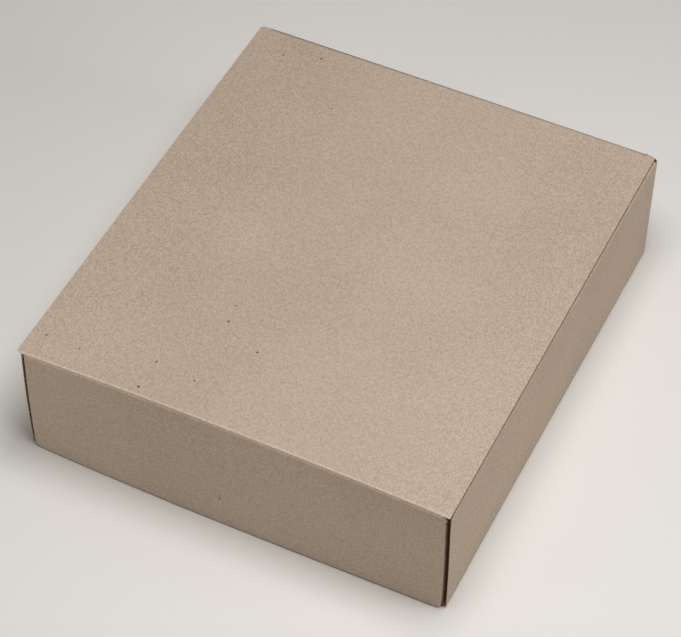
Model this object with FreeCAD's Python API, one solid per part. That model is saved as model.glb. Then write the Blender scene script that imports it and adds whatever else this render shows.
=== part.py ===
import FreeCAD
import Part

import math
import os

# Closed corrugated mailer box, folded from one die-cut sheet (roll-end tuck-top).
# X runs along the lid's hinge crease, Y from the hinge crease to the front, Z up.
# The origin is the centre of the underside. All lengths are in millimetres.

# Outer size of the closed box
box_length = 220.0
box_depth = 250.0
box_height = 70.0

# Board and creases
board = 1.6
crease_inner_radius = 0.3
layer_gap = 0.2
crease_slit = 0.1

# Corrugation that shows in the cut ends
liner = 0.25
flute_paper = 0.2
flute_pitch = 3.2
flute_depth = 2.0
flute_foot = 0.15
flute_edge_margin = 1.0

# Side walls: outer panel, rolled top and inner panel with locking tabs
side_end_inset = 2.0
side_corner_clip = 1.6
inner_panel_end_gap = 0.5
inner_panel_foot_gap = 0.1
tab_length = 30.0
tab_spacing = 120.0
tab_slot_clearance = 0.3
tab_foot_inset = 0.2

# Corner flaps, held between the two panels of a side wall
corner_flap_length = 62.0
corner_flap_edge_gap = 0.3
corner_flap_taper = 5.0
corner_flap_radius = 6.0

# Front wall, which the tuck flap slides behind
front_wall_drop = 3.0

# Lid panel and its tuck flap
lid_edge_inset = 0.5
lid_corner_radius = 2.5
tuck_length = 40.0
tuck_front_clearance = 0.3
tuck_side_clearance = 0.8
tuck_taper = 4.0
tuck_corner_radius = 14.0

# Derived places
crease_outer_radius = crease_inner_radius + board
half_length = box_length / 2
half_depth = box_depth / 2
side_wall_top = box_height - board
outer_panel_inner_face = half_length - board
corner_flap_outer_face = outer_panel_inner_face - layer_gap
inner_panel_outer_face = corner_flap_outer_face - board - layer_gap
inner_panel_inner_face = inner_panel_outer_face - board
floor_half_length = half_length - crease_outer_radius
floor_half_depth = half_depth - crease_outer_radius
end_wall_half_length = corner_flap_outer_face - crease_outer_radius
side_half_depth = half_depth - side_end_inset
inner_panel_half_depth = half_depth - board - inner_panel_end_gap
lid_half_length = half_length - lid_edge_inset
tuck_half_length = inner_panel_inner_face - tuck_side_clearance
hinge_bend_y = -half_depth + crease_outer_radius
hinge_bend_z = box_height - crease_outer_radius
hinge_y = hinge_bend_y - crease_outer_radius * math.sqrt(0.5)
hinge_z = hinge_bend_z + crease_outer_radius * math.sqrt(0.5)
tuck_fold_y = half_depth - board - tuck_front_clearance

vec = FreeCAD.Vector
X_AXIS = vec(1, 0, 0)
Y_AXIS = vec(0, 1, 0)
Z_AXIS = vec(0, 0, 1)


def in_xz(u, v):
    return vec(u, 0, v)


def in_yz(u, v):
    return vec(0, u, v)


def in_xy(u, v):
    return vec(u, v, 0)


def fold_at(before, corner, after):
    """Tangent points, centre and turn of the fold arc on the board's middle line."""
    run_in = (corner - before).normalize()
    run_out = (after - corner).normalize()
    turn = math.atan2(run_in.x * run_out.y - run_in.y * run_out.x, run_in.dot(run_out))
    radius = crease_inner_radius + board / 2
    reach = radius * math.tan(abs(turn) / 2)
    side = math.copysign(1.0, turn)
    normal_in = vec(-run_in.y, run_in.x, 0)
    normal_out = vec(-run_out.y, run_out.x, 0)
    start = corner - run_in * reach
    end = corner + run_out * reach
    centre = start + normal_in * (side * radius)
    return start, end, centre, side, radius, normal_in, normal_out


def board_face_edges(route, offset, place):
    """Straight runs and fold arcs of one face of the board, offset from its middle line."""
    points = [vec(u, v, 0) for u, v in route]
    first_run = (points[1] - points[0]).normalize()
    last_run = (points[-1] - points[-2]).normalize()
    at = points[0] + vec(-first_run.y, first_run.x, 0) * offset
    edges = []
    for before, corner, after in zip(points, points[1:], points[2:]):
        start, end, centre, side, radius, normal_in, normal_out = fold_at(before, corner, after)
        outward = (corner - centre).normalize()
        arc_start = start + normal_in * offset
        arc_middle = centre + outward * (radius - side * offset)
        arc_end = end + normal_out * offset
        edges.append(Part.LineSegment(place(at.x, at.y), place(arc_start.x, arc_start.y)).toShape())
        arc = Part.Arc(
            place(arc_start.x, arc_start.y),
            place(arc_middle.x, arc_middle.y),
            place(arc_end.x, arc_end.y),
        )
        edges.append(arc.toShape())
        at = arc_end
    finish = points[-1] + vec(-last_run.y, last_run.x, 0) * offset
    edges.append(Part.LineSegment(place(at.x, at.y), place(finish.x, finish.y)).toShape())
    return edges


def folded_board(route, place, axis, start, end):
    """Board of constant thickness folded along a route of its middle line, from start to end on axis."""
    left = board_face_edges(route, board / 2, place)
    right = board_face_edges(route, -board / 2, place)
    caps = [
        Part.LineSegment(left[0].firstVertex().Point, right[0].firstVertex().Point).toShape(),
        Part.LineSegment(left[-1].lastVertex().Point, right[-1].lastVertex().Point).toShape(),
    ]
    outline = Part.Wire(Part.__sortEdges__(left + right + caps))
    section = Part.Face(outline)
    section.translate(axis * start)
    return section.extrude(axis * (end - start))


def rounded_outline(corners, place):
    """Closed outline through (u, v, radius) corners, each rounded by its own radius."""
    edges = []
    count = len(corners)
    tangents = []
    for index, (u, v, radius) in enumerate(corners):
        corner = vec(u, v, 0)
        before = vec(*corners[index - 1][:2], 0)
        after = vec(*corners[(index + 1) % count][:2], 0)
        to_before = (before - corner).normalize()
        to_after = (after - corner).normalize()
        half_angle = to_before.getAngle(to_after) / 2
        reach = radius / math.tan(half_angle)
        bisector = (to_before + to_after).normalize()
        middle = corner + bisector * (radius / math.sin(half_angle) - radius)
        tangents.append((corner + to_before * reach, middle, corner + to_after * reach, radius))
    for index, (start, middle, end, radius) in enumerate(tangents):
        following = tangents[(index + 1) % count][0]
        if radius > 0:
            edges.append(Part.Arc(place(start.x, start.y), place(middle.x, middle.y), place(end.x, end.y)).toShape())
        edges.append(Part.LineSegment(place(end.x, end.y), place(following.x, following.y)).toShape())
    return Part.Face(Part.Wire(edges))


def slab(low, high):
    """Box between two opposite corners."""
    size = high - low
    return Part.makeBox(size.x, size.y, size.z, low)


def with_mirror(shape, normal):
    """The shape and its mirror image across the middle plane of the box."""
    return [shape, shape.mirror(vec(0, 0, 0), normal)]


def flute_pockets(corner, along, across, inward, run):
    """Hollows between the liners and the wavy paper, opening in a cut end of the board.

    corner is the end's lower corner, along its direction, across the way through the board,
    inward the flutes' direction and run the length of the cut end.
    """
    count = int((run - 2 * flute_edge_margin) / flute_pitch)
    first = (run - count * flute_pitch) / 2
    pockets = []
    for step in range(2 * count - 1):
        left = first + step * flute_pitch / 2
        base, tip = liner, board - liner - flute_paper
        if step % 2:
            base, tip = board - base, board - tip
        outline = Part.makePolygon(
            [
                corner + along * (left + flute_foot) + across * base,
                corner + along * (left + flute_pitch - flute_foot) + across * base,
                corner + along * (left + flute_pitch / 2) + across * tip,
                corner + along * (left + flute_foot) + across * base,
            ]
        )
        pockets.append(Part.Face(outline).extrude(inward * flute_depth))
    return pockets


def tab_centres():
    return [-tab_spacing / 2, tab_spacing / 2]


def floor_panel():
    """Bottom panel with a slot for each locking tab."""
    panel = slab(
        vec(-floor_half_length, -floor_half_depth, 0),
        vec(floor_half_length, floor_half_depth, board),
    )
    slots = []
    for centre in tab_centres():
        slot = slab(
            vec(inner_panel_inner_face - tab_slot_clearance, centre - tab_length / 2 - tab_slot_clearance, -board),
            vec(inner_panel_outer_face + tab_slot_clearance, centre + tab_length / 2 + tab_slot_clearance, 2 * board),
        )
        slots += with_mirror(slot, X_AXIS)
    return panel.cut(slots)


def side_wall():
    """Right side wall: bottom fold, outer panel, rolled top, inner panel and its tabs."""
    outer_middle = half_length - board / 2
    inner_middle = inner_panel_inner_face + board / 2
    foot = board + inner_panel_foot_gap
    outer_route = [
        (floor_half_length - board, board / 2),
        (outer_middle, board / 2),
        (outer_middle, side_wall_top - crease_outer_radius),
    ]
    outer = folded_board(outer_route, in_xz, Y_AXIS, -side_half_depth, side_half_depth)
    roll_route = [
        (outer_middle, side_wall_top - 2 * crease_outer_radius),
        (outer_middle, side_wall_top - board / 2),
        (inner_middle, side_wall_top - board / 2),
        (inner_middle, foot),
    ]
    inner = folded_board(roll_route, in_xz, Y_AXIS, -inner_panel_half_depth, inner_panel_half_depth)
    tabs = []
    for centre in tab_centres():
        tab = slab(
            vec(inner_panel_inner_face, centre - tab_length / 2, tab_foot_inset),
            vec(inner_panel_outer_face, centre + tab_length / 2, foot + board),
        )
        tabs.append(tab)
    wall = outer.fuse([inner] + tabs)
    low = crease_outer_radius + side_corner_clip
    pockets = flute_pockets(
        vec(outer_panel_inner_face, -side_half_depth, low),
        Z_AXIS,
        X_AXIS,
        Y_AXIS,
        side_wall_top - crease_outer_radius - low,
    )
    for pocket in list(pockets):
        pockets.append(pocket.mirror(vec(0, 0, 0), Y_AXIS))
    return wall.cut(side_wall_relief() + pockets)


def side_wall_relief():
    """What the die cuts off the lower corners of the outer panel, clear of the end walls' folds."""
    clip = side_corner_clip
    outline = rounded_outline(
        [
            (floor_half_depth, -board, 0),
            (half_depth + clip, -board, 0),
            (half_depth + clip, crease_outer_radius + clip, 0),
            (side_half_depth, crease_outer_radius + clip, 0),
            (floor_half_depth, crease_inner_radius, 0),
        ],
        in_yz,
    )
    wedge = outline.extrude(X_AXIS * (half_length + board))
    return with_mirror(wedge, Y_AXIS)


def corner_flap():
    """Flap on the right end of the hinge wall, folded back between the side wall's panels."""
    middle_x = corner_flap_outer_face - board / 2
    wall_y = -half_depth + board / 2
    low = board + corner_flap_edge_gap
    high = side_wall_top - board - corner_flap_edge_gap
    free_end = -half_depth + corner_flap_length
    route = [(end_wall_half_length - board, wall_y), (middle_x, wall_y), (middle_x, free_end)]
    flap = folded_board(route, in_xy, Z_AXIS, low, high)
    outline = rounded_outline(
        [
            (-half_depth - board, low - board, 0),
            (-half_depth + board + crease_outer_radius, low - board, 0),
            (-half_depth + board + crease_outer_radius, low, 0),
            (free_end, low + corner_flap_taper, corner_flap_radius),
            (free_end, high - corner_flap_taper, corner_flap_radius),
            (-half_depth + board + crease_outer_radius, high, 0),
            (-half_depth - board, high, 0),
        ],
        in_yz,
    )
    return flap.common(outline.extrude(X_AXIS * box_length))


def end_wall(top_route):
    """Wall across the box from the floor's bottom fold, along -Y, continued by the top route."""
    middle = -half_depth + board / 2
    route = [(-floor_half_depth + board, board / 2), (middle, board / 2)] + top_route
    return folded_board(route, in_yz, X_AXIS, -end_wall_half_length, end_wall_half_length)


def crease_half_space(sign):
    """Everything on one side of the slit that splits the hinge crease along its diagonal."""
    size = box_height
    block = Part.makeBox(box_length * 2, size, size * 2, vec(-box_length, crease_slit / 2, -size))
    block.rotate(vec(0, 0, 0), X_AXIS, 45)
    if sign < 0:
        block.rotate(vec(0, 0, 0), X_AXIS, 180)
    block.translate(vec(0, hinge_bend_y, hinge_bend_z))
    return block


def hinge_wall():
    """Hinge wall up to the middle of the hinge crease."""
    middle = -half_depth + board / 2
    wall = end_wall([(middle, box_height - board / 2), (hinge_bend_y + board, box_height - board / 2)])
    return wall.common(crease_half_space(-1).fuse(below_crease()))


def below_crease():
    """Space under the hinge crease's bend."""
    return slab(
        vec(-box_length, -box_depth, -board),
        vec(box_length, box_depth, hinge_bend_z - board),
    )


def front_wall():
    """Front wall with its raw top edge, mirrored from the hinge side."""
    middle = -half_depth + board / 2
    top = box_height - front_wall_drop
    wall = end_wall([(middle, top)])
    corner = vec(-end_wall_half_length, -half_depth, top)
    pockets = flute_pockets(corner, X_AXIS, Y_AXIS, -Z_AXIS, 2 * end_wall_half_length)
    return wall.cut(pockets).mirror(vec(0, 0, 0), Y_AXIS)


def tray():
    """Floor, end walls, corner flaps and double side walls: one folded sheet."""
    flaps = []
    for flap in with_mirror(corner_flap(), X_AXIS):
        flaps += with_mirror(flap, Y_AXIS)
    pieces = [hinge_wall(), front_wall()] + with_mirror(side_wall(), X_AXIS) + flaps
    return floor_panel().fuse(pieces).removeSplitter()


def tuck_lean():
    """Inward lean that makes the flap's outer face a chord of the circle its fold swings on."""
    reach = tuck_fold_y - hinge_y
    rise = box_height - hinge_z
    return math.asin(tuck_length / (2 * math.hypot(reach, rise))) - math.atan2(rise, reach)


def lid_panel():
    """Flat lid panel out to the cut side edges, from the hinge bend to the front fold."""
    front = tuck_fold_y - crease_outer_radius
    outline = rounded_outline(
        [
            (-lid_half_length, hinge_bend_y, 0),
            (lid_half_length, hinge_bend_y, 0),
            (lid_half_length, front + board, lid_corner_radius),
            (-lid_half_length, front + board, lid_corner_radius),
        ],
        in_xy,
    )
    outline.translate(Z_AXIS * (box_height - board))
    corners = outline.extrude(Z_AXIS * board)
    fold_space = slab(
        vec(-tuck_half_length, front, 0),
        vec(tuck_half_length, box_depth, box_height * 2),
    )
    return corners.cut(fold_space)


def tuck_flap():
    """Front fold and the tuck flap with its tapered sides and rounded corners."""
    lean = tuck_lean()
    fold_y = tuck_fold_y - board / 2 * (1 + math.sin(lean)) / math.cos(lean)
    fold_z = box_height - board / 2
    run = tuck_length - board / 2
    tip_y = fold_y - run * math.sin(lean)
    tip_z = fold_z - run * math.cos(lean)
    start_y = tuck_fold_y - crease_outer_radius - board
    route = [(start_y, fold_z), (fold_y, fold_z), (tip_y, tip_z)]
    flap = folded_board(route, in_yz, X_AXIS, -tuck_half_length, tuck_half_length)
    low = tip_z - board / 2 * math.sin(lean)
    outline = rounded_outline(
        [
            (-tuck_half_length, box_height + board, 0),
            (-tuck_half_length, box_height - crease_outer_radius * 2, 0),
            (-tuck_half_length + tuck_taper, low, tuck_corner_radius),
            (tuck_half_length - tuck_taper, low, tuck_corner_radius),
            (tuck_half_length, box_height - crease_outer_radius * 2, 0),
            (tuck_half_length, box_height + board, 0),
        ],
        in_xz,
    )
    across = vec(0, math.cos(lean), -math.sin(lean))
    inward = vec(0, math.sin(lean), math.cos(lean))
    edge_half_length = tuck_half_length - tuck_taper - tuck_corner_radius
    corner = vec(-edge_half_length, tip_y, tip_z) - across * (board / 2)
    pockets = flute_pockets(corner, X_AXIS, across, inward, 2 * edge_half_length)
    return flap.common(outline.extrude(Y_AXIS * box_depth)).cut(pockets)


def hinge_lip():
    """Upper half of the hinge crease's bend, as wide as the lid."""
    middle = -half_depth + board / 2
    route = [
        (middle, hinge_bend_z - board),
        (middle, box_height - board / 2),
        (hinge_bend_y + board, box_height - board / 2),
    ]
    bend = folded_board(route, in_yz, X_AXIS, -lid_half_length, lid_half_length)
    return bend.common(crease_half_space(1))


def lid():
    """Lid panel with half of the hinge crease and the tuck flap: the moving part of the sheet."""
    return lid_panel().fuse([hinge_lip(), tuck_flap()]).removeSplitter()


def main():
    os.makedirs("parts", exist_ok=True)
    for name, shape in (("tray", tray()), ("lid", lid())):
        shape.exportStep(os.path.join("parts", name + ".step"))


main()
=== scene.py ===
"""Looks of the closed corrugated mailer box: kraft board, folds, cut ends and soft studio light."""

import logging
import math
from dataclasses import dataclass, field
from enum import Enum
from typing import Callable, ClassVar, Iterable

import bmesh
import bpy
import numpy as np
from mathutils import Matrix, Vector

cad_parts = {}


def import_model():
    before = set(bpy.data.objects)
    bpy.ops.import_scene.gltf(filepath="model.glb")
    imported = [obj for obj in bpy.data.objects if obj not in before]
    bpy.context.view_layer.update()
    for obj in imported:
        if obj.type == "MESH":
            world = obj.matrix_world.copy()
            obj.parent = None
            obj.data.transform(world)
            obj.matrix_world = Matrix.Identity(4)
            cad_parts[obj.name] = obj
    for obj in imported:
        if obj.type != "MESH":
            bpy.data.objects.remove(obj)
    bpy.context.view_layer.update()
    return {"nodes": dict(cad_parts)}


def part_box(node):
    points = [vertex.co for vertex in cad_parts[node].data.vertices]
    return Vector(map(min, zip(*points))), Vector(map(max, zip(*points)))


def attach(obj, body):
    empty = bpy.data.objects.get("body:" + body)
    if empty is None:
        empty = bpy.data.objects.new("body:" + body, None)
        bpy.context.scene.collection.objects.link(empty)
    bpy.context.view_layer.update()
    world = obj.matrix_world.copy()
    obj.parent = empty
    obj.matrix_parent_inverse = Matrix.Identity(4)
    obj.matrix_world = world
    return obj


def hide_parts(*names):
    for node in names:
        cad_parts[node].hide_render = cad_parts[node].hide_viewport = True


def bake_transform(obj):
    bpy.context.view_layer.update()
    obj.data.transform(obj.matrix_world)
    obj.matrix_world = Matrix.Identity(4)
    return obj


MM = 0.001
# Slack, in millimetres, with which a place on the sheet is told from the edges beside it
CLOSE = 0.02
TOUCHING = 0.05
LOOSE = 0.1
# Share of a face's normal along an axis from which the face counts as facing along it
FACING = 0.9
# Dark specks of the paper that can be seen, on the lid (x, y) and on the hinge wall (x, z)
LID_SPECKS = (
    (-9.3, -76.9),
    (-27.3, -104.4),
    (-48.1, -102.0),
    (-48.3, -118.7),
    (-83.4, -110.7),
    (-101.1, -110.0),
    (-29.8, -65.9),
    (-31.0, -55.5),
    (-87.7, 107.0),
    (-69.1, 112.9),
    (-48.7, 82.4),
)
WALL_SPECKS = ((-33.7, 39.9), (-0.8, 57.4), (-43.0, 50.0), (-5.4, 18.6))
SEEN_SPECKS = [(x, y, 70.0) for x, y in LID_SPECKS] + [(x, -124.6, z) for x, z in WALL_SPECKS]
SPECK_RADII = (0.62, 0.48, 0.55)
# Sizes of the paper's other specks, as shares of the distance between them
SPECK_LEAST = 0.015
SPECK_SPREAD = 0.035
# Features of the paper for each metre of it, and how much longer than wide the fibres are
GRAIN_PER_METRE = 2300.0
FLOCKS_PER_METRE = 950.0
FIBRES_PER_METRE = 1500.0
CLOUDS_PER_METRE = 9.0
FIBRE_SHORTENING = 0.3
# Places of the colour sockets on a Mix node
MIX_FIRST = 6
MIX_SECOND = 7
MIX_RESULT = 2
LOG = logging.getLogger("mailer_box")


class Body(Enum):
    """The two bodies that the lid's hinge joins."""

    TRAY = "tray"
    LID = "lid"


class Slot(Enum):
    """The record's material slots."""

    TRAY = "tray_board"
    LID = "lid_board"


class Finish(Enum):
    """A face's finish, as the place of its material on the piece."""

    LINER = 0
    CUT = 1
    # Near-black board as painted shade of the flute hollows and of the slot beside the hinge wall
    FLUTE_SHADE = 2
    # Brighter liner: cracked liner and a painted highlight of the crease
    CREASED = 3


def smooth(value: np.ndarray, low: float, high: float) -> np.ndarray:
    """Smooth ramp from 0 at low to 1 at high.

    Args:
        value: where the ramp is read.
        low: where it starts.
        high: where it ends.

    Returns:
        The ramp's value at each place.
    """
    t = np.clip((value - low) / (high - low), 0.0, 1.0)
    return t * t * (3.0 - 2.0 * t)


def between(ends: tuple[float, float], share: np.ndarray) -> np.ndarray:
    """Values part of the way from the first end to the second, one for each share."""
    return ends[0] + (ends[1] - ends[0]) * share


@dataclass(frozen=True)
class BoxSizes:
    """Sizes of the folded sheet, in millimetres, read from the frame or shared with it."""

    half_length: float
    half_depth: float
    height: float
    lid_half_length: float
    board: float = 1.6
    crease_inner_radius: float = 0.3
    hinge_half_length: float = 106.3
    strip_overlap: float = 3.0
    bend_margin: float = 0.25
    tuck_clearance: float = 0.3

    @classmethod
    def from_frame(cls) -> "BoxSizes":
        """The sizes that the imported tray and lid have."""
        tray_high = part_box("tray")[1]
        lid_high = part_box("lid")[1]
        return cls(
            half_length=tray_high.x / MM,
            half_depth=tray_high.y / MM,
            height=lid_high.z / MM,
            lid_half_length=lid_high.x / MM,
        )

    @property
    def crease_radius(self) -> float:
        """Outer radius of a fold."""
        return self.crease_inner_radius + self.board

    @property
    def bend_y(self) -> float:
        """Y of the hinge bend's centre."""
        return -self.half_depth + self.crease_radius

    @property
    def tuck_bend_y(self) -> float:
        """Y where the lid's front fold begins."""
        return self.half_depth - self.board - self.tuck_clearance - self.crease_radius

    @property
    def bend_z(self) -> float:
        """Z of the hinge bend's centre."""
        return self.height - self.crease_radius


@dataclass(frozen=True)
class SheetShape:
    """How far the real sheet is from a square, flat box, in millimetres, always inwards."""

    sizes: BoxSizes
    foot_left_inset: float = 2.4
    foot_right_inset: float = 0.8
    crease_middle_inset: float = 1.5
    right_wall_insets: tuple[float, float] = (1.5, 0.2)
    left_wall_inset: float = 2.2
    right_bow: float = 0.5
    left_bow: float = 0.3
    left_top_inset: float = 0.6
    lid_left_insets: tuple[float, float] = (0.9, 2.0)
    lid_right_insets: tuple[float, float] = (0.9, 0.6)
    lid_far_left_inset: float = 0.25
    left_droops: tuple[float, float] = (0.25, 0.35)
    right_droops: tuple[float, float] = (0.2, 0.2)
    corner_pull: float = 0.55
    corner_foot_stretch: float = 1.5
    corner_foot_tuck: float = 0.4
    corner_top_stretch: float = 1.7
    hinge_dents: tuple[float, float] = (0.45, 0.85)
    ear_inset: float = 0.55
    ear_width: float = 5.2
    ear_depth: float = 6.0
    fold_sharpness: float = 0.6
    flap_top: float = 66.5
    floor_gap: float = 1.0
    droop_from: float = 14.0
    droop_to: float = 3.0
    hinge_reach: tuple[float, float] = (4.0, 70.0)
    bow_reach: float = 45.0
    bow_low: float = 0.12
    bow_skew: float = 0.8
    bow_top: float = 0.55
    wall_from: float = 12.0
    wall_to: float = 6.0
    squeeze_reach: float = 8.0
    squeeze_end: float = 3.3
    crushed_foot: float = 2.5
    crushed_top: float = 4.5

    def along(self, points: np.ndarray) -> np.ndarray:
        """Share of the way from the hinge wall to the front wall at each place."""
        return (points[:, 1] + self.sizes.half_depth) / (2.0 * self.sizes.half_depth)

    def droop(self, points: np.ndarray) -> np.ndarray:
        """How far the lid and the wall tops sink towards the two sides.

        Args:
            points: places in millimetres, one row each.

        Returns:
            The drop at each place.
        """
        across = points[:, 0] / self.sizes.half_length
        height = self.sizes.height
        top = smooth(points[:, 2], height - self.droop_from, height - self.droop_to)
        left = between(self.left_droops, self.along(points))
        right = between(self.right_droops, self.along(points))
        return np.where(across < 0, left, right) * across**2 * top

    def hinge_side(self, points: np.ndarray) -> np.ndarray:
        """Inward offset of the hinge wall: its foot's corners, its middle and its crease's middle.

        Args:
            points: places in millimetres, one row each.

        Returns:
            The offset along +Y at each place.
        """
        s = self.sizes
        across = points[:, 0] / s.half_length
        up = np.clip(points[:, 2] / s.height, 0.0, 1.0)
        near = 1.0 - smooth(points[:, 1] + s.half_depth, *self.hinge_reach)
        corner = np.where(across < 0, self.foot_left_inset, self.foot_right_inset)
        foot = corner * across**2 * (1.0 - up) ** 1.5
        crease = self.crease_middle_inset * (1.0 - across**2) * up**2
        dent = between(self.hinge_dents, (across + 1.0) / 2.0) * (1.0 - across**8)
        return near * (foot + crease + dent * np.sin(math.pi * up))

    def walls(self, points: np.ndarray) -> np.ndarray:
        """Shape of the walls: a bellied hinge wall and side walls that bow out at their near ends.

        Args:
            points: places of the square tray in millimetres, one row each.

        Returns:
            The places of the real one.
        """
        s = self.sizes
        out = points.copy()
        up = np.clip(points[:, 2] / s.height, 0.0, 1.0)
        near = np.exp(-(((points[:, 1] + s.half_depth) / self.bow_reach) ** 2))
        belly = np.sin(math.pi * (self.bow_low + (1.0 - self.bow_low) * up) ** self.bow_skew)
        edge = smooth(np.abs(points[:, 0]), s.half_length - self.wall_from, s.half_length - self.wall_to)
        right = points[:, 0] > 0
        inset = np.where(
            right, between(self.right_wall_insets, self.along(points)), self.left_wall_inset
        )
        bow = np.where(right, self.right_bow, self.left_bow) * near * np.maximum(belly, self.bow_top * up)
        top_inset = np.where(right, 0.0, self.left_top_inset * up**3 * near)
        out[:, 0] -= np.sign(points[:, 0]) * edge * (inset - bow + top_inset)
        out[:, 1] += self.hinge_side(points)
        out[:, 2] -= self.droop(points)
        return out

    def tray(self, points: np.ndarray) -> np.ndarray:
        """The walls' shape, with its upright corner folds sharpened and their ends crushed."""
        return self.walls(points + self.sharpened_folds(points)) + self.crushed_corners(points)

    def squeeze(self, points: np.ndarray) -> np.ndarray:
        """How far the hinge wall's ends are pulled away from the side walls.

        Args:
            points: places in millimetres, one row each.

        Returns:
            The pull towards the middle at each place.
        """
        past = np.abs(points[:, 0]) - self.sizes.hinge_half_length
        rise = smooth(past, -self.squeeze_reach, 0.0)
        fall = smooth(past, self.sizes.crease_radius, self.squeeze_end)
        return self.corner_pull * rise * (1.0 - fall)

    def sharpened_folds(self, points: np.ndarray) -> np.ndarray:
        """Offsets that make the upright corner folds less round than the creases.

        Args:
            points: places of the square tray in millimetres, one row each.

        Returns:
            The offset of each place, nought away from the folds.
        """
        s = self.sizes
        across = np.maximum(np.abs(points[:, 0]) - s.hinge_half_length, 1e-6)
        deep = np.maximum(np.abs(points[:, 1]) + s.bend_y, 1e-6)
        fold = (across > CLOSE) & (deep > CLOSE) & (across < s.crease_radius + CLOSE)
        roundness = np.hypot(across, deep) / np.maximum(across, deep)
        wider = fold * (roundness**self.fold_sharpness - 1.0)
        move = np.zeros_like(points)
        move[:, 0] = np.sign(points[:, 0]) * across * wider
        move[:, 1] = np.sign(points[:, 1]) * deep * wider
        return move

    def crushed_corners(self, points: np.ndarray) -> np.ndarray:
        """Offsets that press the ends of the upright corner folds into the folds beside them.

        Args:
            points: places of the square tray in millimetres, one row each.

        Returns:
            The offset of each place, nought away from the corners.
        """
        s = self.sizes
        z = points[:, 2]
        hinge_end = points[:, 1] < 0
        past = np.abs(points[:, 0]) - s.hinge_half_length
        deep = np.abs(points[:, 1]) + s.bend_y
        before_wall = past < s.crease_radius + CLOSE
        on_flap = (deep > -s.board - TOUCHING) & (past > s.crease_inner_radius - TOUCHING)
        fold = before_wall & (past > -CLOSE) & (on_flap | (deep > -TOUCHING))
        bent = past > CLOSE
        foot = fold * bent * (deep > -TOUCHING) * (z > self.floor_gap)
        foot = foot * (1.0 - smooth(z, s.crease_radius, s.crease_radius + self.crushed_foot))
        rise = self.corner_top_stretch + bent * np.clip(deep - s.crease_inner_radius + LOOSE, 0.0, 1.0)
        top = fold * hinge_end * (z < self.flap_top + CLOSE)
        top = top * smooth(z, self.flap_top - self.crushed_top, self.flap_top) * rise
        end = hinge_end & before_wall & (deep > -s.board - TOUCHING)
        inwards = -np.sign(points)
        move = np.zeros_like(points)
        move[:, 0] = inwards[:, 0] * (end * self.squeeze(points) + foot * self.corner_foot_tuck)
        move[:, 1] = inwards[:, 1] * foot * self.corner_foot_tuck
        move[:, 2] = top - foot * self.corner_foot_stretch
        return move

    def lid(self, points: np.ndarray) -> np.ndarray:
        """Shape of the lid: a little askew on the tray, sinking towards its sides.

        Args:
            points: places of the square lid in millimetres, one row each.

        Returns:
            The places of the real one.
        """
        out = points.copy()
        along = self.along(points)
        across = points[:, 0] / self.sizes.lid_half_length
        left = smooth(-across, -1.0, 1.0)
        out[:, 0] += left * between(self.lid_left_insets, along)
        out[:, 0] -= (1.0 - left) * between(self.lid_right_insets, along)
        out[:, 1] -= self.lid_far_left_inset * (1.0 - across) / 2.0 * along**2
        out[:, 1] += self.hinge_side(points)
        ears = np.abs(points[:, 0]) > self.sizes.lid_half_length - self.ear_width
        ears &= points[:, 1] > self.sizes.half_depth - self.ear_depth
        out[:, 1] -= ears * self.ear_inset
        out[:, 2] -= self.droop(points)
        return out


class Effect:
    """A shader node group that several materials use, with named inputs and outputs."""

    def __init__(self, name: str) -> None:
        """Starts an empty group.

        Args:
            name: what the group is called.
        """
        self.tree = bpy.data.node_groups.new(name, "ShaderNodeTree")
        self.inlet = self.tree.nodes.new("NodeGroupInput")
        self.outlet = self.tree.nodes.new("NodeGroupOutput")

    def takes(self, name: str, kind: str, value: object) -> bpy.types.NodeSocket:
        """Adds a named input.

        Args:
            name: the input's name.
            kind: its socket type.
            value: what it holds unless a material says otherwise.

        Returns:
            The socket that carries it inside the group.
        """
        socket = self.tree.interface.new_socket(name, in_out="INPUT", socket_type=kind)
        socket.default_value = value
        return self.inlet.outputs[name]

    def gives(self, name: str, kind: str, source: bpy.types.NodeSocket) -> None:
        """Adds a named output that carries the source socket."""
        self.tree.interface.new_socket(name, in_out="OUTPUT", socket_type=kind)
        self.tree.links.new(source, self.outlet.inputs[name])

    def node(self, kind: str, **settings: object) -> bpy.types.Node:
        """Adds a node with its settings."""
        return add_node(self.tree, kind, **settings)

    def link(self, source: bpy.types.NodeSocket, target: bpy.types.NodeSocket) -> None:
        """Joins two sockets."""
        self.tree.links.new(source, target)

    def math(self, operation: str, first: object, second: object) -> bpy.types.NodeSocket:
        """Adds a Math node over two sockets or numbers and returns its result."""
        return math_node(self.tree, operation, first, second)


def add_node(tree: bpy.types.NodeTree, kind: str, **settings: object) -> bpy.types.Node:
    """Adds a node to a tree.

    Args:
        tree: the material's or group's node tree.
        kind: the node's type name.
        settings: node properties, or input values where the name is an input's.

    Returns:
        The new node.
    """
    node = tree.nodes.new(kind)
    for name, value in settings.items():
        label = name.replace("_", " ").title()
        if hasattr(node, name):
            setattr(node, name, value)
        else:
            node.inputs[label].default_value = value
    return node


def math_node(
    tree: bpy.types.NodeTree, operation: str, first: object, second: object
) -> bpy.types.NodeSocket:
    """Adds a Math node.

    Args:
        tree: the node tree.
        operation: Blender's name of the operation.
        first: a socket or a number.
        second: a socket or a number.

    Returns:
        The result's socket.
    """
    node = tree.nodes.new("ShaderNodeMath")
    node.operation = operation
    for socket, value in zip(node.inputs, (first, second)):
        if isinstance(value, bpy.types.NodeSocket):
            tree.links.new(value, socket)
        else:
            socket.default_value = value
    return node.outputs[0]


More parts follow.
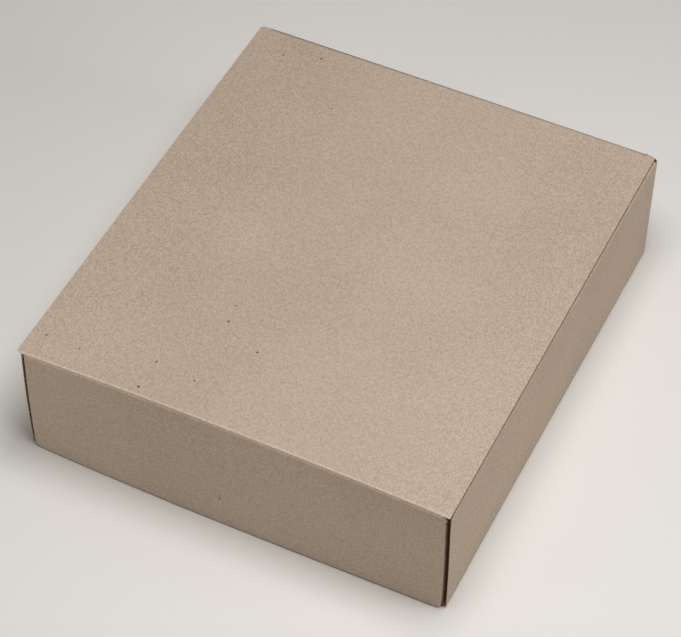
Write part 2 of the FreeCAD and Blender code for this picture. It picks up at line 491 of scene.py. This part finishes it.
def ramp(
    tree: bpy.types.NodeTree, source: bpy.types.NodeSocket, low: float, high: float
) -> bpy.types.NodeSocket:
    """Adds a smooth 0 to 1 ramp.

    Args:
        tree: the node tree.
        source: the value that is ramped.
        low: where the ramp starts.
        high: where it ends.

    Returns:
        The ramp's socket.
    """
    node = tree.nodes.new("ShaderNodeMapRange")
    node.interpolation_type = "SMOOTHSTEP"
    node.inputs["From Min"].default_value = low
    node.inputs["From Max"].default_value = high
    tree.links.new(source, node.inputs["Value"])
    return node.outputs["Result"]


def noise(
    tree: bpy.types.NodeTree, place: bpy.types.NodeSocket, per_metre: float
) -> bpy.types.NodeSocket:
    """Adds a noise texture.

    Args:
        tree: the node tree.
        place: the coordinates that it reads.
        per_metre: features for each metre.

    Returns:
        The noise's socket.
    """
    node = tree.nodes.new("ShaderNodeTexNoise")
    node.inputs["Scale"].default_value = per_metre
    node.inputs["Detail"].default_value = 2.0
    node.inputs["Roughness"].default_value = 0.6
    tree.links.new(place, node.inputs["Vector"])
    return node.outputs["Fac"]


def paper_fibres() -> bpy.types.NodeTree:
    """Recycled paper's mottling: fine grain, soft clouds and short stretched fibres."""
    effect = Effect("paper_fibres")
    place = effect.takes("Place", "NodeSocketVector", (0.0, 0.0, 0.0))
    grain = noise(effect.tree, place, GRAIN_PER_METRE)
    flocks = noise(effect.tree, place, FLOCKS_PER_METRE)
    clouds = noise(effect.tree, place, CLOUDS_PER_METRE)
    stretch = effect.node("ShaderNodeMapping")
    stretch.inputs["Scale"].default_value = (1.0, FIBRE_SHORTENING, 1.0)
    effect.link(place, stretch.inputs["Vector"])
    fibres = noise(effect.tree, stretch.outputs["Vector"], FIBRES_PER_METRE)
    fine = effect.math("ADD", effect.math("MULTIPLY", grain, 0.55), effect.math("MULTIPLY", flocks, 0.25))
    total = effect.math("ADD", fine, effect.math("MULTIPLY", fibres, 0.2))
    effect.gives("Grain", "NodeSocketFloat", total)
    effect.gives("Clouds", "NodeSocketFloat", clouds)
    return effect.tree


def dark_specks() -> bpy.types.NodeTree:
    """Sparse dark inclusions of recycled pulp."""
    effect = Effect("dark_specks")
    place = effect.takes("Place", "NodeSocketVector", (0.0, 0.0, 0.0))
    per_metre = effect.takes("Per Metre", "NodeSocketFloat", 120.0)
    share = effect.takes("Share", "NodeSocketFloat", 0.03)
    cells = effect.node("ShaderNodeTexVoronoi")
    effect.link(place, cells.inputs["Vector"])
    effect.link(per_metre, cells.inputs["Scale"])
    chosen = effect.node("ShaderNodeSeparateColor")
    effect.link(cells.outputs["Color"], chosen.inputs["Color"])
    kept = effect.math("LESS_THAN", chosen.outputs["Red"], share)
    size = effect.math("MULTIPLY", chosen.outputs["Green"], SPECK_SPREAD)
    size = effect.math("ADD", size, SPECK_LEAST)
    spot = effect.math("LESS_THAN", cells.outputs["Distance"], size)
    mask = effect.math("MULTIPLY", kept, spot)
    for index, centre in enumerate(SEEN_SPECKS):
        near = effect.node("ShaderNodeVectorMath", operation="DISTANCE")
        effect.link(place, near.inputs[0])
        near.inputs[1].default_value = Vector(centre) * MM
        radius = SPECK_RADII[index % len(SPECK_RADII)] * MM
        mask = effect.math("MAXIMUM", mask, effect.math("LESS_THAN", near.outputs["Value"], radius))
    effect.gives("Mask", "NodeSocketFloat", mask)
    return effect.tree


def flute_washboard() -> bpy.types.NodeTree:
    """The corrugation's faint ridges through the liner, one per flute along X."""
    effect = Effect("flute_washboard")
    place = effect.takes("Place", "NodeSocketVector", (0.0, 0.0, 0.0))
    pitch = effect.takes("Pitch", "NodeSocketFloat", 0.0032)
    axes = effect.node("ShaderNodeSeparateXYZ")
    effect.link(place, axes.inputs["Vector"])
    turns = effect.math("DIVIDE", axes.outputs["X"], pitch)
    wave = effect.math("SINE", effect.math("MULTIPLY", turns, 2.0 * math.pi), 0.0)
    effect.gives("Height", "NodeSocketFloat", wave)
    return effect.tree


@dataclass(frozen=True)
class KraftBoard:
    """Uncoated recycled kraft liner, as it shows on the sheet's faces."""

    name: str = "kraft_liner"
    colour: tuple[float, float, float] = (0.590, 0.470, 0.366)
    shade: tuple[float, float, float] = (0.365, 0.285, 0.216)
    speck: tuple[float, float, float] = (0.13, 0.09, 0.06)
    roughness: float = 0.86
    mottle: float = 0.82
    washboard_mm: float = 0.012
    fibre_mm: float = 0.02
    shine: float = 0.3
    grain_band: tuple[float, float] = (0.40, 0.60)
    cloud_band: tuple[float, float] = (0.3, 0.7)

    def build(self, groups: dict[str, bpy.types.NodeTree]) -> bpy.types.Material:
        """Makes the material.

        Args:
            groups: the shared effects by name.

        Returns:
            The finished material.
        """
        material = bpy.data.materials.new(self.name)
        material.use_nodes = True
        tree = material.node_tree
        shader = tree.nodes["Principled BSDF"]
        place = tree.nodes.new("ShaderNodeTexCoord").outputs["Object"]
        fibres = group_node(tree, groups["paper_fibres"], place)
        specks = group_node(tree, groups["dark_specks"], place)
        washboard = group_node(tree, groups["flute_washboard"], place)
        grain = ramp(tree, fibres.outputs["Grain"], *self.grain_band)
        clouds = ramp(tree, fibres.outputs["Clouds"], *self.cloud_band)
        depth = math_node(tree, "MULTIPLY", grain, self.mottle)
        depth = math_node(tree, "ADD", depth, math_node(tree, "MULTIPLY", clouds, 1.0 - self.mottle))
        paper = mix_colour(tree, depth, self.shade, self.colour)
        paper = mix_colour(tree, specks.outputs["Mask"], paper, self.speck)
        tree.links.new(paper, shader.inputs["Base Color"])
        shader.inputs["Roughness"].default_value = self.roughness
        shader.inputs["Specular IOR Level"].default_value = self.shine
        fibre_bump = bump(tree, fibres.outputs["Grain"], self.fibre_mm * MM, None)
        flute_bump = bump(tree, washboard.outputs["Height"], self.washboard_mm * MM, fibre_bump)
        tree.links.new(flute_bump, shader.inputs["Normal"])
        return material


@dataclass(frozen=True)
class CutEnd:
    """The board's cut ends: browner paper, soft and torn by the die, darkened further as painted shade of
    the flute grooves between the liners.
    """

    name: str = "cut_board"
    colour: tuple[float, float, float] = (0.26, 0.19, 0.13)
    shade: tuple[float, float, float] = (0.13, 0.09, 0.057)
    roughness: float = 0.95
    shine: float = 0.3
    fibre_mm: float = 0.05
    grain_band: tuple[float, float] = (0.35, 0.65)

    def build(self, groups: dict[str, bpy.types.NodeTree]) -> bpy.types.Material:
        """Makes the material.

        Args:
            groups: the shared effects by name.

        Returns:
            The finished material.
        """
        material = bpy.data.materials.new(self.name)
        material.use_nodes = True
        tree = material.node_tree
        shader = tree.nodes["Principled BSDF"]
        place = tree.nodes.new("ShaderNodeTexCoord").outputs["Object"]
        fibres = group_node(tree, groups["paper_fibres"], place)
        grain = ramp(tree, fibres.outputs["Grain"], *self.grain_band)
        paper = mix_colour(tree, grain, self.shade, self.colour)
        tree.links.new(paper, shader.inputs["Base Color"])
        shader.inputs["Roughness"].default_value = self.roughness
        shader.inputs["Specular IOR Level"].default_value = self.shine
        fibre_bump = bump(tree, fibres.outputs["Grain"], self.fibre_mm * MM, None)
        tree.links.new(fibre_bump, shader.inputs["Normal"])
        return material


def group_node(
    tree: bpy.types.NodeTree, group: bpy.types.NodeTree, place: bpy.types.NodeSocket
) -> bpy.types.Node:
    """Places a shared effect in a material.

    Args:
        tree: the material's node tree.
        group: the effect.
        place: the coordinates that it reads.

    Returns:
        The group's node.
    """
    node = tree.nodes.new("ShaderNodeGroup")
    node.node_tree = group
    tree.links.new(place, node.inputs["Place"])
    return node


def mix_colour(
    tree: bpy.types.NodeTree, share: bpy.types.NodeSocket, first: object, second: object
) -> bpy.types.NodeSocket:
    """Mixes two colours.

    Args:
        tree: the material's node tree.
        share: how much of the second colour shows.
        first: a colour or a colour socket.
        second: a colour or a colour socket.

    Returns:
        The mixed colour's socket.
    """
    node = tree.nodes.new("ShaderNodeMix")
    node.data_type = "RGBA"
    tree.links.new(share, node.inputs["Factor"])
    for socket, value in ((node.inputs[MIX_FIRST], first), (node.inputs[MIX_SECOND], second)):
        if isinstance(value, bpy.types.NodeSocket):
            tree.links.new(value, socket)
        else:
            socket.default_value = (*value, 1.0)
    return node.outputs[MIX_RESULT]


def bump(
    tree: bpy.types.NodeTree, height: bpy.types.NodeSocket, distance: float, under: object
) -> bpy.types.NodeSocket:
    """Adds a Bump node.

    Args:
        tree: the material's node tree.
        height: the socket with the height.
        distance: how high a height of 1 stands, in metres.
        under: another bump's normal that this one is laid over, or None.

    Returns:
        The bumped normal's socket.
    """
    node = tree.nodes.new("ShaderNodeBump")
    node.inputs["Strength"].default_value = 1.0
    node.inputs["Distance"].default_value = distance
    tree.links.new(height, node.inputs["Height"])
    if under is not None:
        tree.links.new(under, node.inputs["Normal"])
    return node.outputs["Normal"]


@dataclass
class Finishes:
    """Every material of the box, built once."""

    liner: bpy.types.Material = field(init=False)
    creased: bpy.types.Material = field(init=False)
    cut: bpy.types.Material = field(init=False)
    # Near-black material: painted shade of the flute hollows and the slot
    flute: bpy.types.Material = field(init=False)

    def __post_init__(self) -> None:
        """Builds the shared effects, then the materials."""
        groups = {tree.name: tree for tree in (paper_fibres(), dark_specks(), flute_washboard())}
        self.liner = KraftBoard().build(groups)
        # Brighter liner: cracked liner on the crease and a painted highlight of the rounded fold; the torn
        # sliver uses it as its pale torn paper
        self.creased = KraftBoard(
            name="creased_liner", colour=(0.70, 0.575, 0.46), shade=(0.47, 0.375, 0.285), fibre_mm=0.09
        ).build(groups)
        self.cut = CutEnd().build(groups)
        # The cut board's brown deepened to near-black with little shine: painted shade of the flute hollows
        # and of the slot
        self.flute = CutEnd(
            name="painted_flute_shade", colour=(0.16, 0.095, 0.045), shade=(0.035, 0.02, 0.009), shine=0.05
        ).build(groups)

    def dress(self, piece: bpy.types.Object) -> None:
        """Gives a piece its materials, in the order of the Finish members."""
        for material in (self.liner, self.cut, self.flute, self.creased):
            piece.data.materials.append(material)


def joined_copy(node: bpy.types.Object) -> bmesh.types.BMesh:
    """Copies a node's mesh in millimetres, with its flat faces in one piece each.

    Args:
        node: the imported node.

    Returns:
        The copy, which the caller frees.
    """
    bm = bmesh.new()
    bm.from_mesh(node.data)
    bm.transform(Matrix.Scale(1.0 / MM, 4))
    bmesh.ops.remove_doubles(bm, verts=bm.verts, dist=0.001)
    bmesh.ops.dissolve_limit(bm, angle_limit=math.radians(0.5), verts=bm.verts, edges=bm.edges)
    return bm


def slice_evenly(bm: bmesh.types.BMesh, sizes: BoxSizes, step: float) -> None:
    """Slices a mesh along all three axes so that its panels can bow, and beside each bend.

    The slices beside the bends keep a bend's shading off the flat panels that it joins.

    Args:
        bm: the mesh in millimetres.
        sizes: the box's sizes.
        step: distance between slices, in millimetres.
    """
    beside = sizes.crease_radius + sizes.bend_margin
    side = sizes.half_length - beside
    fold = sizes.hinge_half_length - sizes.bend_margin
    end = sizes.half_depth - beside
    tuck = sizes.tuck_bend_y - sizes.bend_margin
    spans = (
        (Vector((1, 0, 0)), -sizes.half_length, sizes.half_length, (-side, -fold, fold, side)),
        (Vector((0, 1, 0)), -sizes.half_depth, sizes.half_depth, (-end, tuck, end)),
        (Vector((0, 0, 1)), 0.0, sizes.height, (beside, sizes.height - beside)),
    )
    for axis, low, high, bends in spans:
        for place in [*np.arange(low + step / 2, high, step), *bends]:
            cut_at(bm, axis, float(place))
    bm.normal_update()


def cut_at(bm: bmesh.types.BMesh, axis: Vector, place: float) -> None:
    """Slices every face at one place on an axis.

    Args:
        bm: the mesh.
        axis: the unit vector along the axis.
        place: how far along it the slice lies.
    """
    geometry = list(bm.verts) + list(bm.edges) + list(bm.faces)
    bmesh.ops.bisect_plane(bm, geom=geometry, dist=0.0005, plane_co=axis * place, plane_no=axis)


def trim(bm: bmesh.types.BMesh, unwanted: Callable[[Vector], bool]) -> None:
    """Takes off part of a mesh and closes the openings that this leaves.

    Args:
        bm: the mesh.
        unwanted: says of a place whether its vertex goes.
    """
    gone = [vert for vert in bm.verts if unwanted(vert.co)]
    bmesh.ops.delete(bm, geom=gone, context="VERTS")
    rims = [edge for edge in bm.edges if edge.is_boundary]
    bmesh.ops.holes_fill(bm, edges=rims, sides=0)


def finish_mesh(
    bm: bmesh.types.BMesh, name: str, shape: Callable[[np.ndarray], np.ndarray]
) -> bpy.types.Object:
    """Bows a mesh and makes it an object in metres.

    Args:
        bm: the mesh in millimetres, which is freed.
        name: the piece's name.
        shape: moves the square mesh's points to where the real sheet's are.

    Returns:
        The new piece, in the scene.
    """
    bmesh.ops.recalc_face_normals(bm, faces=bm.faces)
    points = np.array([vert.co for vert in bm.verts])
    for vert, place in zip(bm.verts, shape(points) * MM):
        vert.co = place
    mesh = bpy.data.meshes.new(name)
    bm.to_mesh(mesh)
    bm.free()
    mesh.shade_smooth()
    mesh.set_sharp_from_angle(angle=math.radians(32))
    piece = bpy.data.objects.new(name, mesh)
    bpy.context.scene.collection.objects.link(piece)
    return piece


@dataclass
class Tray:
    """Floor, walls and corner flaps, without the hinge crease's bend."""

    sizes: BoxSizes
    shape: SheetShape
    slice_step: float = 9.0
    pocket_depth: float = 2.0
    side_end: float = 123.0
    front_top: float = 67.0
    section_from: float = 104.7
    liner: float = 0.25

    def build(self, node: bpy.types.Object, finishes: Finishes) -> bpy.types.Object:
        """Makes, dresses and places the tray.

        Args:
            node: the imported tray.
            finishes: the materials.

        Returns:
            The tray's piece.
        """
        s = self.sizes
        bm = joined_copy(node)
        cut_at(bm, Vector((0, 0, 1)), s.bend_z)
        trim(bm, lambda co: co.z > s.bend_z + CLOSE / 2 and co.y < s.bend_y)
        slice_evenly(bm, s, self.slice_step)
        for place in (self.liner - s.half_length, s.half_length - self.liner):
            cut_at(bm, Vector((1, 0, 0)), place)
        bm.normal_update()
        for face in bm.faces:
            face.material_index = self.finish_of(face).value
        piece = finish_mesh(bm, "folded_tray", self.shape.tray)
        finishes.dress(piece)
        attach(piece, Body.TRAY.value)
        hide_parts("tray")
        return piece

    def finish_of(self, face: bmesh.types.BMFace) -> Finish:
        """Which finish a face has: liner, a cut end of the board, or painted shade: the near-black finish on
        the flutes behind a cut end and on the right side wall's end in the slot.

        Args:
            face: a face of the square tray.

        Returns:
            Its finish.
        """
        s = self.sizes
        at = face.calc_center_median()
        inner = s.board - CLOSE
        pocket = self.pocket_depth + LOOSE
        wall = s.half_length - inner < abs(at.x) < s.half_length - CLOSE
        front = s.half_depth - inner < at.y < s.half_depth - CLOSE
        if wall and at.z > s.crease_radius and abs(at.y) > self.side_end - pocket:
            if abs(at.x) > s.half_length - self.liner:
                return Finish.LINER
            # Painted shade: the right side wall's end in the slot gets the near-black finish, the lit left
            # end the cut board's brown
            return Finish.CUT if at.x < 0 else Finish.FLUTE_SHADE
        if front and at.z > self.front_top - pocket:
            # Painted shade in the flute hollows under the front wall's cut top
            return Finish.CUT if at.z > self.front_top - CLOSE else Finish.FLUTE_SHADE
        section = abs(at.x) > self.section_from and abs(at.y) < self.side_end + TOUCHING
        return Finish.CUT if section and abs(face.normal.y) > FACING else Finish.LINER


@dataclass
class Lid:
    """Lid panel and tuck flap, without the hinge crease's bend."""

    sizes: BoxSizes
    shape: SheetShape
    flap_low: float
    slice_step: float = 9.0
    pocket_depth: float = 2.0
    edge_facing: float = 0.6
    edge_band: float = 3.0
    flute_area: ClassVar[float] = 6.0

    def build(self, node: bpy.types.Object, finishes: Finishes) -> bpy.types.Object:
        """Makes, dresses and places the lid.

        Args:
            node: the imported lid.
            finishes: the materials.

        Returns:
            The lid's piece.
        """
        s = self.sizes
        bm = joined_copy(node)
        cut_at(bm, Vector((0, 1, 0)), s.bend_y + s.strip_overlap)
        trim(bm, lambda co: co.y < s.bend_y + s.strip_overlap - CLOSE / 2)
        slice_evenly(bm, s, self.slice_step)
        for face in bm.faces:
            face.material_index = self.finish_of(face).value
        piece = finish_mesh(bm, "lid_panel", self.shape.lid)
        finishes.dress(piece)
        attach(piece, Body.LID.value)
        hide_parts("lid")
        return piece

    def finish_of(self, face: bmesh.types.BMFace) -> Finish:
        """Which finish a face has: liner, a cut edge, or painted shade on the flutes in the flap's end.

        Args:
            face: a face of the square lid.

        Returns:
            Its finish.
        """
        at = face.calc_center_median()
        if abs(face.normal.x) > self.edge_facing and abs(at.x) > self.sizes.lid_half_length - self.edge_band:
            return Finish.CUT
        if abs(face.normal.z) > FACING and at.z < self.flap_low + CLOSE:
            return Finish.CUT
        # Painted shade: the flap end's flute hollows get the near-black finish
        inside = at.z < self.flap_low + self.pocket_depth + LOOSE and self.is_hollow(face)
        return Finish.FLUTE_SHADE if inside else Finish.LINER

    @classmethod
    def is_hollow(cls, face: bmesh.types.BMFace) -> bool:
        """Whether a face is one of the small ones that line a flute."""
        return face.calc_area() < cls.flute_area and abs(face.normal.y) < FACING


@dataclass
class HingeCrease:
    """The rounded bend between the hinge wall and the lid, one strip that follows both."""

    # Stands for a turn: the strip's last row, which lies flat where the lid panel begins
    FLAT: ClassVar[float] = 0.0
    sizes: BoxSizes
    shape: SheetShape
    steps: int = 18
    column_step: float = 0.8
    ripple: float = 0.05
    flute_pitch: float = 3.2
    ridge: float = 0.15
    ridge_turn: float = 122.0
    ridge_spread: float = 15.0
    groove: float = 0.2
    groove_turn: float = 156.0
    groove_spread: float = 10.0
    # Turns of the crease that get the brighter finish: cracked liner and a painted highlight of the rounded
    # fold
    wear_and_highlight_from: float = 106.0
    wear_and_highlight_to: float = 138.0
    end_overlap: float = 0.5
    blend_from: float = 0.2
    blend_to: float = 1.34

    def build(self, finishes: Finishes) -> bpy.types.Object:
        """Makes, dresses and blends the crease between the two bodies.

        Args:
            finishes: the materials.

        Returns:
            The crease's piece.
        """
        s = self.sizes
        bm = bmesh.new()
        columns = int(round(2 * s.lid_half_length / self.column_step))
        xs = np.linspace(-s.lid_half_length, s.lid_half_length, columns + 1)
        turns = np.append(np.linspace(math.pi, math.pi / 2, self.steps + 1), self.FLAT)
        outer = [[bm.verts.new(self.place(x, turn, 0.0)) for turn in turns] for x in xs]
        inner = [[bm.verts.new(self.place(x, turn, s.board)) for turn in turns] for x in xs]
        cells = [
            (i, j)
            for i in range(columns)
            for j in range(self.steps + 1)
            if j >= self.steps // 2 or abs(xs[i] + xs[i + 1]) / 2 < s.hinge_half_length + self.end_overlap
        ]
        for i, j in cells:
            face = bm.faces.new((outer[i][j], outer[i + 1][j], outer[i + 1][j + 1], outer[i][j + 1]))
            # Brighter creased finish on part of the turn: cracked liner and painted highlight
            if self.wear_and_highlight_from < math.degrees(turns[j]) < self.wear_and_highlight_to:
                face.material_index = Finish.CREASED.value
            bm.faces.new((inner[i][j], inner[i][j + 1], inner[i + 1][j + 1], inner[i + 1][j]))
        self.close(bm, outer, inner)
        loose = [vert for vert in bm.verts if not vert.link_faces]
        bmesh.ops.delete(bm, geom=loose, context="VERTS")
        piece = finish_mesh(bm, "hinge_crease", self.between)
        finishes.dress(piece)
        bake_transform(piece)
        return piece

    def place(self, x: float, turn: float, depth: float) -> tuple[float, float, float]:
        """A point of the strip.

        Args:
            x: where it lies along the crease.
            turn: its angle about the bend's centre, or FLAT.
            depth: how deep it lies under the outer face.

        Returns:
            The point's x, y and z.
        """
        s = self.sizes
        if turn == self.FLAT:
            return x, s.bend_y + s.strip_overlap, s.height - depth
        radius = s.crease_radius - depth
        if depth == 0.0:
            radius += self.crushed(x, turn)
        return x, s.bend_y + radius * math.cos(turn), s.bend_z + radius * math.sin(turn)

    def crushed(self, x: float, turn: float) -> float:
        """How far the outer face stands out: a raised ridge with a groove below it.

        Args:
            x: where the place lies along the crease.
            turn: its angle about the bend's centre.

        Returns:
            The height over the plain bend, less than nought in the groove.
        """
        wave = 0.5 * math.sin(2 * math.pi * x / self.flute_pitch)
        wave += math.sin(1.31 * x) * math.sin(0.17 * x + 1.0)
        wave += 0.7 * math.sin(3.37 * x + 2.0 * math.sin(0.9 * x))
        degrees = math.degrees(turn)
        on_ridge = math.exp(-(((degrees - self.ridge_turn) / self.ridge_spread) ** 2))
        in_groove = math.exp(-(((degrees - self.groove_turn) / self.groove_spread) ** 2))
        return (self.ridge + self.ripple * wave) * on_ridge - (self.groove + self.ripple * wave) * in_groove

    def close(
        self,
        bm: bmesh.types.BMesh,
        outer: list[list[bmesh.types.BMVert]],
        inner: list[list[bmesh.types.BMVert]],
    ) -> None:
        """Joins the rims of the strip's two faces into its cut ends.

        Args:
            bm: the strip's mesh.
            outer: the outer face's vertices, by column and turn.
            inner: the inner face's vertices, in the same order.
        """
        pairs = {}
        for outer_column, inner_column in zip(outer, inner):
            for outer_vert, inner_vert in zip(outer_column, inner_column):
                pairs[outer_vert] = inner_vert
        rims = [edge for edge in bm.edges if edge.is_boundary and edge.verts[0] in pairs]
        for edge in rims:
            first, second = edge.verts
            face = bm.faces.new((first, second, pairs[second], pairs[first]))
            face.material_index = Finish.CUT.value

    def between(self, points: np.ndarray) -> np.ndarray:
        """Shape of the strip, turning from the walls' to the lid's along the bend.

        Args:
            points: places of the square strip in millimetres, one row each.

        Returns:
            The places of the real one.
        """
        s = self.sizes
        along = (points[:, 1] + s.half_depth) + (points[:, 2] - s.bend_z)
        share = smooth(along, 0.0, 2 * s.crease_radius)[:, None]
        wall = self.shape.walls(points)
        wall[:, 0] -= np.sign(points[:, 0]) * self.shape.squeeze(points)
        return wall * (1 - share) + self.shape.lid(points) * share


@dataclass
class TornCorner:
    """The pale sliver of torn liner at the crease's right end, above the slot."""

    sizes: BoxSizes
    shape: SheetShape
    start: tuple[float, float] = (106.2, 68.3)
    end: tuple[float, float] = (108.5, 66.7)
    width: float = 0.8
    thickness: float = 0.25
    steps: int = 10

    def build(self, finishes: Finishes) -> bpy.types.Object:
        """Makes and dresses the sliver, which stays on the tray.

        Args:
            finishes: the materials.

        Returns:
            The sliver's piece.
        """
        bm = bmesh.new()
        rings = [self.ring(bm, share) for share in np.linspace(0.0, 1.0, self.steps + 1)]
        for first, second in zip(rings, rings[1:]):
            for i in range(len(first)):
                j = (i + 1) % len(first)
                bm.faces.new((first[i], first[j], second[j], second[i]))
        bm.faces.new(reversed(rings[0]))
        bm.faces.new(rings[-1])
        for face in bm.faces:
            face.material_index = Finish.CREASED.value
        piece = finish_mesh(bm, "torn_corner", self.shape.walls)
        finishes.dress(piece)
        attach(piece, Body.TRAY.value)
        return piece

    def ring(self, bm: bmesh.types.BMesh, share: float) -> list[bmesh.types.BMVert]:
        """One ragged cross-section of the sliver.

        Args:
            bm: the sliver's mesh.
            share: how much of the way along the sliver it lies.

        Returns:
            Its four vertices.
        """
        x = self.start[0] + (self.end[0] - self.start[0]) * share
        z = self.start[1] + (self.end[1] - self.start[1]) * share
        ragged = 1.0 + 0.2 * math.sin(9.0 * share + 1.0) + 0.1 * math.sin(23.0 * share)
        half = self.width / 2 * ragged * math.sin(math.pi * (0.12 + 0.76 * share)) ** 0.6
        curl = 0.15 * math.sin(math.pi * share) + 0.05 * math.sin(14.0 * share)
        turn = max(0.0, x - self.sizes.hinge_half_length)
        y = -self.sizes.half_depth + 0.07 + 0.12 * turn**2
        corners = ((-half, 0.0), (0.0, -0.12 - curl * 0.2), (half, 0.0), (0.0, self.thickness))
        lean = math.radians(30.0)
        return [
            bm.verts.new((x + a * math.sin(lean), y + b, z + curl + a * math.cos(lean)))
            for a, b in corners
        ]


@dataclass
class Studio:
    """Pale floor, soft lamps and the camera at the photograph's angle."""

    camera_place: tuple[float, float, float] = (0.349336, -0.758568, 0.967786)
    camera_right: tuple[float, float, float] = (0.901181, 0.433295, 0.011345)
    camera_down: tuple[float, float, float] = (0.331921, -0.673033, -0.660951)
    lens: float = 136.643
    floor_half_size: float = 3.0

    def build(self) -> None:
        """Makes the floor, the lamps, the world and the camera."""
        self.floor()
        self.lamps()
        self.world()
        self.camera()

    def floor(self) -> None:
        """A wide pale floor that the box stands on."""
        mesh = bpy.data.meshes.new("floor")
        r = self.floor_half_size
        mesh.from_pydata([(-r, -r, 0), (r, -r, 0), (r, r, 0), (-r, r, 0)], [], [(0, 1, 2, 3)])
        floor = bpy.data.objects.new("floor", mesh)
        bpy.context.scene.collection.objects.link(floor)
        material = bpy.data.materials.new("pale_floor")
        material.use_nodes = True
        shader = material.node_tree.nodes["Principled BSDF"]
        shader.inputs["Base Color"].default_value = (0.82, 0.80, 0.77, 1.0)
        shader.inputs["Roughness"].default_value = 0.9
        mesh.materials.append(material)

    def lamps(self) -> None:
        """A softbox overhead, one at the right and a low one in front."""
        self.lamp("key_softbox", (0.12, -0.08, 0.78), (0.03, -0.05, 0.05), 0.4, 4.4)
        self.lamp("right_softbox", (0.95, 0.10, 0.38), (0.05, 0.0, 0.03), 0.4, 2.05)
        self.lamp("low_front_softbox", (-0.50, -0.66, 0.12), (-0.08, -0.12, 0.0), 0.4, 1.12)

    def lamp(
        self,
        name: str,
        place: tuple[float, float, float],
        aim: tuple[float, float, float],
        size: float,
        power: float,
    ) -> None:
        """Adds a square area lamp.

        Args:
            name: the lamp's name.
            place: where it hangs, in metres.
            aim: what it points at.
            size: its side, in metres.
            power: its power, in watts.
        """
        data = bpy.data.lights.new(name, "AREA")
        data.size = size
        data.energy = power
        lamp = bpy.data.objects.new(name, data)
        lamp.visible_camera = False
        lamp.location = place
        lamp.rotation_euler = (Vector(aim) - Vector(place)).to_track_quat("-Z", "Y").to_euler()
        bpy.context.scene.collection.objects.link(lamp)

    def world(self) -> None:
        """An even pale surround."""
        world = bpy.data.worlds.new("studio")
        world.use_nodes = True
        sky = world.node_tree.nodes["Background"]
        sky.inputs["Color"].default_value = (1.0, 0.95, 0.88, 1.0)
        sky.inputs["Strength"].default_value = 0.17
        bpy.context.scene.world = world

    def camera(self) -> None:
        """The camera, turned by its right and down directions."""
        data = bpy.data.cameras.new("camera")
        data.lens = self.lens
        data.sensor_width = 36.0
        data.clip_end = 20.0
        camera = bpy.data.objects.new("camera", data)
        right = Vector(self.camera_right).normalized()
        up = -Vector(self.camera_down).normalized()
        back = right.cross(up)
        turn = Matrix((right, up, back)).transposed()
        camera.matrix_world = Matrix.Translation(self.camera_place) @ turn.to_4x4()
        bpy.context.scene.collection.objects.link(camera)
        bpy.context.scene.camera = camera


def main() -> None:
    """Builds the box around the frame, then the studio."""
    logging.basicConfig(level=logging.INFO, format="%(message)s")
    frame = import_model()
    sizes = BoxSizes.from_frame()
    shape = SheetShape(sizes)
    finishes = Finishes()
    pieces = [
        Tray(sizes, shape).build(frame["nodes"]["tray"], finishes),
        Lid(sizes, shape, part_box("lid")[0].z / MM).build(frame["nodes"]["lid"], finishes),
        HingeCrease(sizes, shape).build(finishes),
        TornCorner(sizes, shape).build(finishes),
    ]
    for piece in pieces:
        LOG.info("%s: %d faces", piece.name, len(piece.data.polygons))
    Studio().build()
    bpy.context.scene.view_settings.view_transform = "Standard"


if __name__ == "__main__":
    main()
